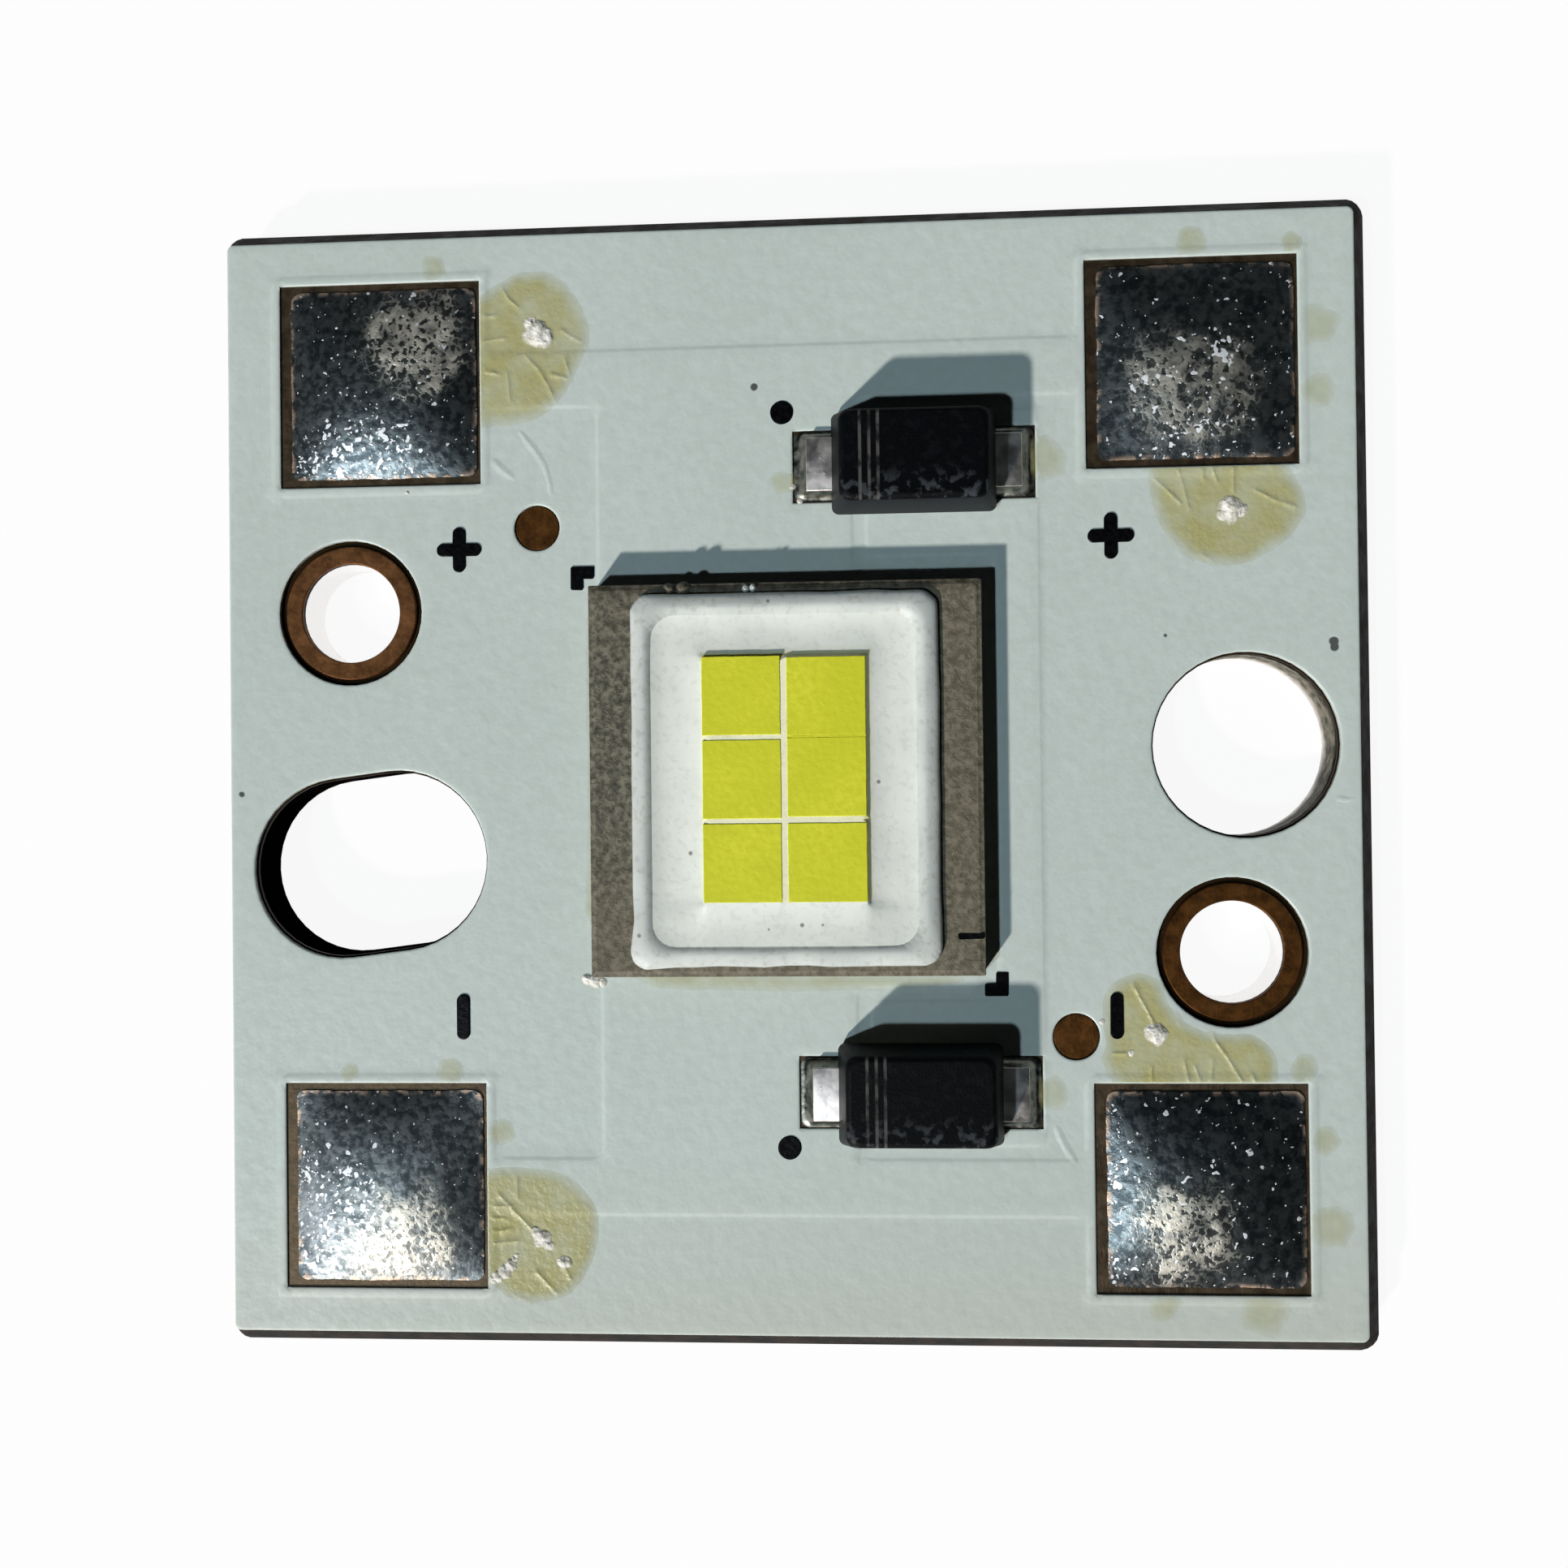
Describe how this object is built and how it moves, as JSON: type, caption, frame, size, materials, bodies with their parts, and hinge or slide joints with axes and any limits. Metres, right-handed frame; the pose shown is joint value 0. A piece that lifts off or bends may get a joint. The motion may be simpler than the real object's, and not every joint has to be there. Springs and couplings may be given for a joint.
{
  "type": "multi-chip led",
  "caption": "Square copper-core board with a ceramic multi-chip LED package under yellow phosphor tiles, two protection diodes, tinned wire pads, screw hole and slot.",
  "frame": {"origin": "middle of the board's flat back face", "axes": "+Z out of the light-emitting side, +X from the slot towards the round screw hole's side, +Y towards the positive wire pads"},
  "size_m": [0.0208, 0.0204, 0.0022],
  "materials": {
    "copper": "bare copper, browned by the air",
    "insulation": "filled resin",
    "mask": "satin pale solder mask",
    "ink": "printed black ink",
    "solder": "bright tin solder with dull patches",
    "ceramic": "unglazed grey-brown aluminium nitride",
    "gold": "gold flash over nickel",
    "die": "polished semiconductor",
    "phosphor": "matt yellow phosphor tile",
    "white_silicone": "glossy white filled silicone",
    "mould": "satin black moulding compound",
    "tinned_lead": "tin-plated copper"
  },
  "bodies": {
    "root": {"copper_core": "copper", "positive_foil": "copper", "negative_foil": "copper", "link_foil": "copper", "left_ring": "copper", "right_ring": "copper", "left_fiducial": "copper", "right_fiducial": "copper", "insulation": "insulation", "solder_mask": "mask", "plus_left": "ink", "plus_right": "ink", "minus_left": "ink", "minus_right": "ink", "dot_upper": "ink", "dot_lower": "ink", "corner_mark_upper": "ink", "corner_mark_lower": "ink", "pad_solder_upper_left": "solder", "pad_solder_upper_right": "solder", "pad_solder_lower_left": "solder", "pad_solder_lower_right": "solder", "led_anode_joint": "solder", "led_cathode_joint": "solder", "led_thermal_joint": "solder", "upper_diode_cathode_joint": "solder", "upper_diode_anode_joint": "solder", "lower_diode_cathode_joint": "solder", "lower_diode_anode_joint": "solder", "led_ceramic": "ceramic", "led_anode_metal": "gold", "led_cathode_metal": "gold", "led_thermal_metal": "gold", "led_die_1": "die", "led_die_2": "die", "led_die_3": "die", "led_die_4": "die", "led_die_5": "die", "led_die_6": "die", "upper_diode_die": "die", "lower_diode_die": "die", "phosphor_tile_1": "phosphor", "phosphor_tile_2": "phosphor", "phosphor_tile_3": "phosphor", "phosphor_tile_4": "phosphor", "phosphor_tile_5": "phosphor", "phosphor_tile_6": "phosphor", "led_dam": "white_silicone", "led_fill": "white_silicone", "upper_diode_body": "mould", "lower_diode_body": "mould", "upper_diode_cathode_lead": "tinned_lead", "upper_diode_anode_lead": "tinned_lead", "lower_diode_cathode_lead": "tinned_lead", "lower_diode_anode_lead": "tinned_lead"}
  },
  "joints": []
}
